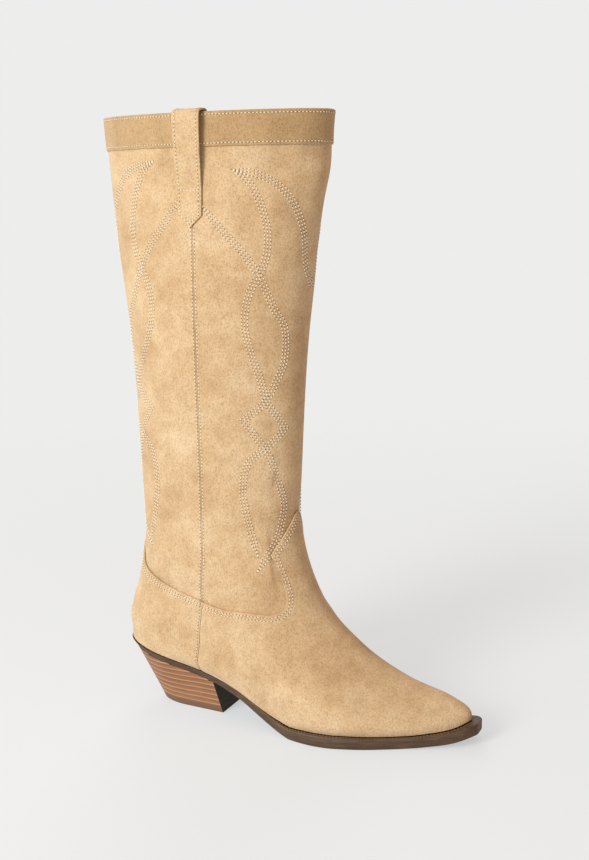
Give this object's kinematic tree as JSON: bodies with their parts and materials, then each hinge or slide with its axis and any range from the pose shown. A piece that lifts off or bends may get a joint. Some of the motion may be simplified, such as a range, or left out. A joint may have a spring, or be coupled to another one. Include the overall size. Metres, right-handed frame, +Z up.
{
  "type": "cowboy boot",
  "caption": "Tall right-foot western boot with a pointed welted toe, stacked underslung heel, stitched shaft and a pull strap at each side.",
  "frame": {"origin": "centre of the bounding box's base, on the floor under the waist of the boot", "axes": "+X to the toe, +Y to the inner (medial) side of a right boot, +Z up the shaft"},
  "size_m": [0.2858, 0.0942, 0.4498],
  "materials": {
    "upper_suede": "soft nubuck with a fine nap",
    "lining_leather": "smooth matt pigskin-type lining",
    "sole_leather": "stained and burnished sole leather",
    "welt_leather": "stained welt leather with light stitching",
    "heel_leather": "stacked leather, edges stained and waxed",
    "top_lift_rubber": "moulded dark brown rubber",
    "insole_leather": "plain vegetable-tanned insole leather",
    "cork_filler": "pressed cork",
    "stiffener_fibre": "stiffened fibre sheet",
    "seam_tape": "woven reinforcing tape",
    "steel": "plain steel",
    "brass_nail": "plain brass"
  },
  "bodies": {
    "foot": {"outsole": "sole_leather", "welt": "welt_leather", "top_lift": "top_lift_rubber", "heel_screw": "steel", "heel_nails": "steel", "top_lift_nails": "brass_nail", "heel_lift_1": "heel_leather", "heel_lift_2": "heel_leather", "heel_lift_3": "heel_leather", "heel_lift_4": "heel_leather", "heel_lift_5": "heel_leather", "heel_lift_6": "heel_leather", "heel_lift_7": "heel_leather", "heel_lift_8": "heel_leather", "heel_lift_9": "heel_leather", "insole_board": "insole_leather", "insole_filler": "cork_filler", "shank": "steel", "sock_liner": "lining_leather", "toe_puff": "stiffener_fibre", "heel_stiffener": "stiffener_fibre", "vamp": "upper_suede", "counter": "upper_suede", "foot_lining": "lining_leather"},
    "shaft": {"front_panel": "upper_suede", "back_panel": "upper_suede", "shaft_lining": "lining_leather", "side_tape_outer": "seam_tape", "side_tape_inner": "seam_tape", "collar_band": "upper_suede", "pull_strap_outer": "upper_suede", "pull_strap_inner": "upper_suede"}
  },
  "joints": [
    {"name": "ankle_flex", "type": "hinge", "parent": "foot", "child": "shaft", "pos_m": [-0.0555, 0, 0.143], "axis": [0, 1, 0], "range_deg": [-3, 8], "stiffness_Nm_per_rad": 6}
  ]
}
